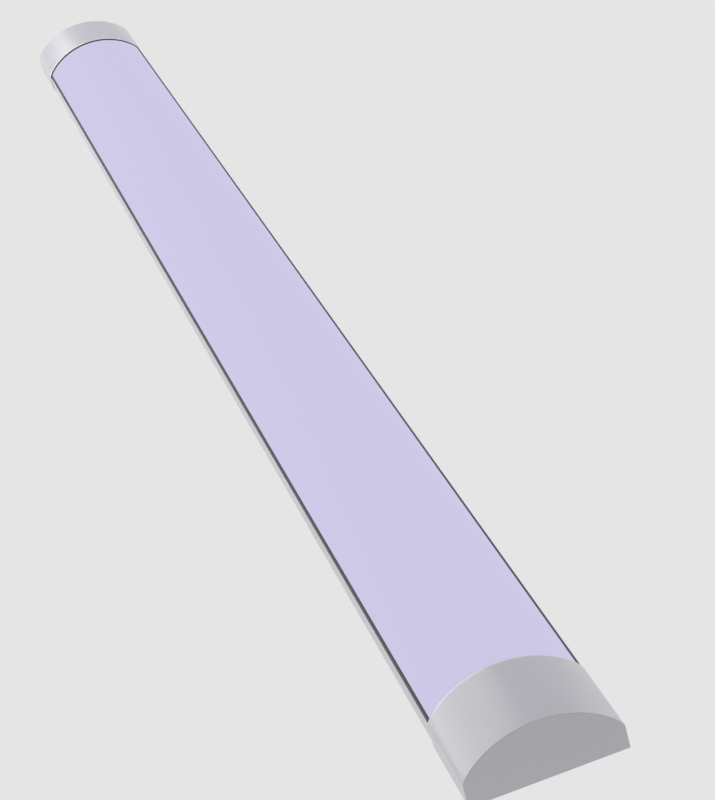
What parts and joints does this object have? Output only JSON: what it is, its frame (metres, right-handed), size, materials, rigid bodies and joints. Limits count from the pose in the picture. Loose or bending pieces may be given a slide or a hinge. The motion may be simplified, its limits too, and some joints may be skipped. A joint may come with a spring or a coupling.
{
  "type": "linear led batten",
  "caption": "Slim ceiling batten light: domed opal diffuser on a flat-backed profile, pull-off end caps, sliding back clips and the driver, boards and wiring inside.",
  "frame": {"origin": "centre of the flat back face, on the surface that the batten lies on or is fixed to", "axes": "+X along the batten from the cable inlet end to the blind end, +Y across it, +Z out of the back towards the crown of the diffuser"},
  "size_m": [1.2, 0.0764, 0.0305],
  "materials": {
    "housing_paint": "satin light grey powder coat on aluminium",
    "opal_diffuser": "even opal polycarbonate with a soft satin skin",
    "cap_silver": "satin silver-grey moulding with a very fine texture",
    "tray_aluminium": "mill-finish strip",
    "board_white": "white solder mask",
    "zinc_steel": "zinc plated",
    "black_rubber": "matte extruded and moulded rubber",
    "white_plastic": "moulded",
    "orange_plastic": "moulded",
    "circuit_board": "green solder mask",
    "winding_tape": "yellow polyester tape",
    "black_plastic": "moulded",
    "sleeve_brown": "wire insulation",
    "sleeve_blue": "wire insulation",
    "sleeve_green_yellow": "striped wire insulation",
    "sleeve_red": "wire insulation",
    "sleeve_black": "wire insulation",
    "spring_steel": "rolled stainless strip"
  },
  "bodies": {
    "batten": {"base_housing": "housing_paint", "diffuser": "opal_diffuser", "gear_tray": "tray_aluminium", "led_board_inlet": "board_white", "led_board_blind": "board_white", "led_board_rivet_1": "zinc_steel", "led_board_rivet_2": "zinc_steel", "led_board_rivet_3": "zinc_steel", "led_board_rivet_4": "zinc_steel", "led_board_rivet_5": "zinc_steel", "led_board_rivet_6": "zinc_steel", "terminal_block_screw": "zinc_steel", "earth_screw": "zinc_steel", "earth_tag": "zinc_steel", "driver_screw_inlet": "zinc_steel", "driver_screw_output": "zinc_steel", "side_seal_left": "black_rubber", "side_seal_right": "black_rubber", "arch_seal_inlet": "black_rubber", "arch_seal_blind": "black_rubber", "entry_grommet": "black_rubber", "terminal_block": "white_plastic", "driver_case": "white_plastic", "driver_input_socket": "white_plastic", "driver_output_socket": "white_plastic", "wire_saddle": "white_plastic", "feed_connector": "white_plastic", "link_connector_inlet": "white_plastic", "link_connector_blind": "white_plastic", "driver_board": "circuit_board", "driver_transformer": "winding_tape", "driver_film_capacitor": "winding_tape", "driver_choke": "black_plastic", "driver_fuse": "black_plastic", "driver_bulk_capacitor": "black_plastic", "driver_output_capacitor": "black_plastic", "driver_switch_transistor": "black_plastic", "wire_live": "sleeve_brown", "wire_neutral": "sleeve_blue", "wire_earth": "sleeve_green_yellow", "wire_led_positive": "sleeve_red", "link_wire_positive": "sleeve_red", "wire_led_negative": "sleeve_black", "link_wire_negative": "sleeve_black"},
    "inlet_cap": {"end_cap_inlet": "cap_silver"},
    "blind_cap": {"end_cap_blind": "cap_silver"},
    "inlet_clip": {"mounting_clip_inlet": "spring_steel"},
    "blind_clip": {"mounting_clip_blind": "spring_steel"},
    "live_button": {"terminal_button_live": "orange_plastic"},
    "neutral_button": {"terminal_button_neutral": "orange_plastic"},
    "earth_button": {"terminal_button_earth": "orange_plastic"}
  },
  "joints": [
    {"name": "inlet_cap_pull", "type": "slide", "parent": "batten", "child": "inlet_cap", "axis": [-1, 0, 0], "range_m": [0, 0.06]},
    {"name": "blind_cap_pull", "type": "slide", "parent": "batten", "child": "blind_cap", "axis": [1, 0, 0], "range_m": [0, 0.06]},
    {"name": "inlet_clip_slide", "type": "slide", "parent": "batten", "child": "inlet_clip", "axis": [1, 0, 0], "range_m": [-0.15, 0.15]},
    {"name": "blind_clip_slide", "type": "slide", "parent": "batten", "child": "blind_clip", "axis": [1, 0, 0], "range_m": [-0.15, 0.15]},
    {"name": "live_button_press", "type": "slide", "parent": "batten", "child": "live_button", "axis": [0, 0, -1], "range_m": [0, 0.0014], "stiffness_N_per_m": 1500, "springref_m": -0.0003},
    {"name": "neutral_button_press", "type": "slide", "parent": "batten", "child": "neutral_button", "axis": [0, 0, -1], "range_m": [0, 0.0014], "stiffness_N_per_m": 1500, "springref_m": -0.0003},
    {"name": "earth_button_press", "type": "slide", "parent": "batten", "child": "earth_button", "axis": [0, 0, -1], "range_m": [0, 0.0014], "stiffness_N_per_m": 1500, "springref_m": -0.0003}
  ]
}
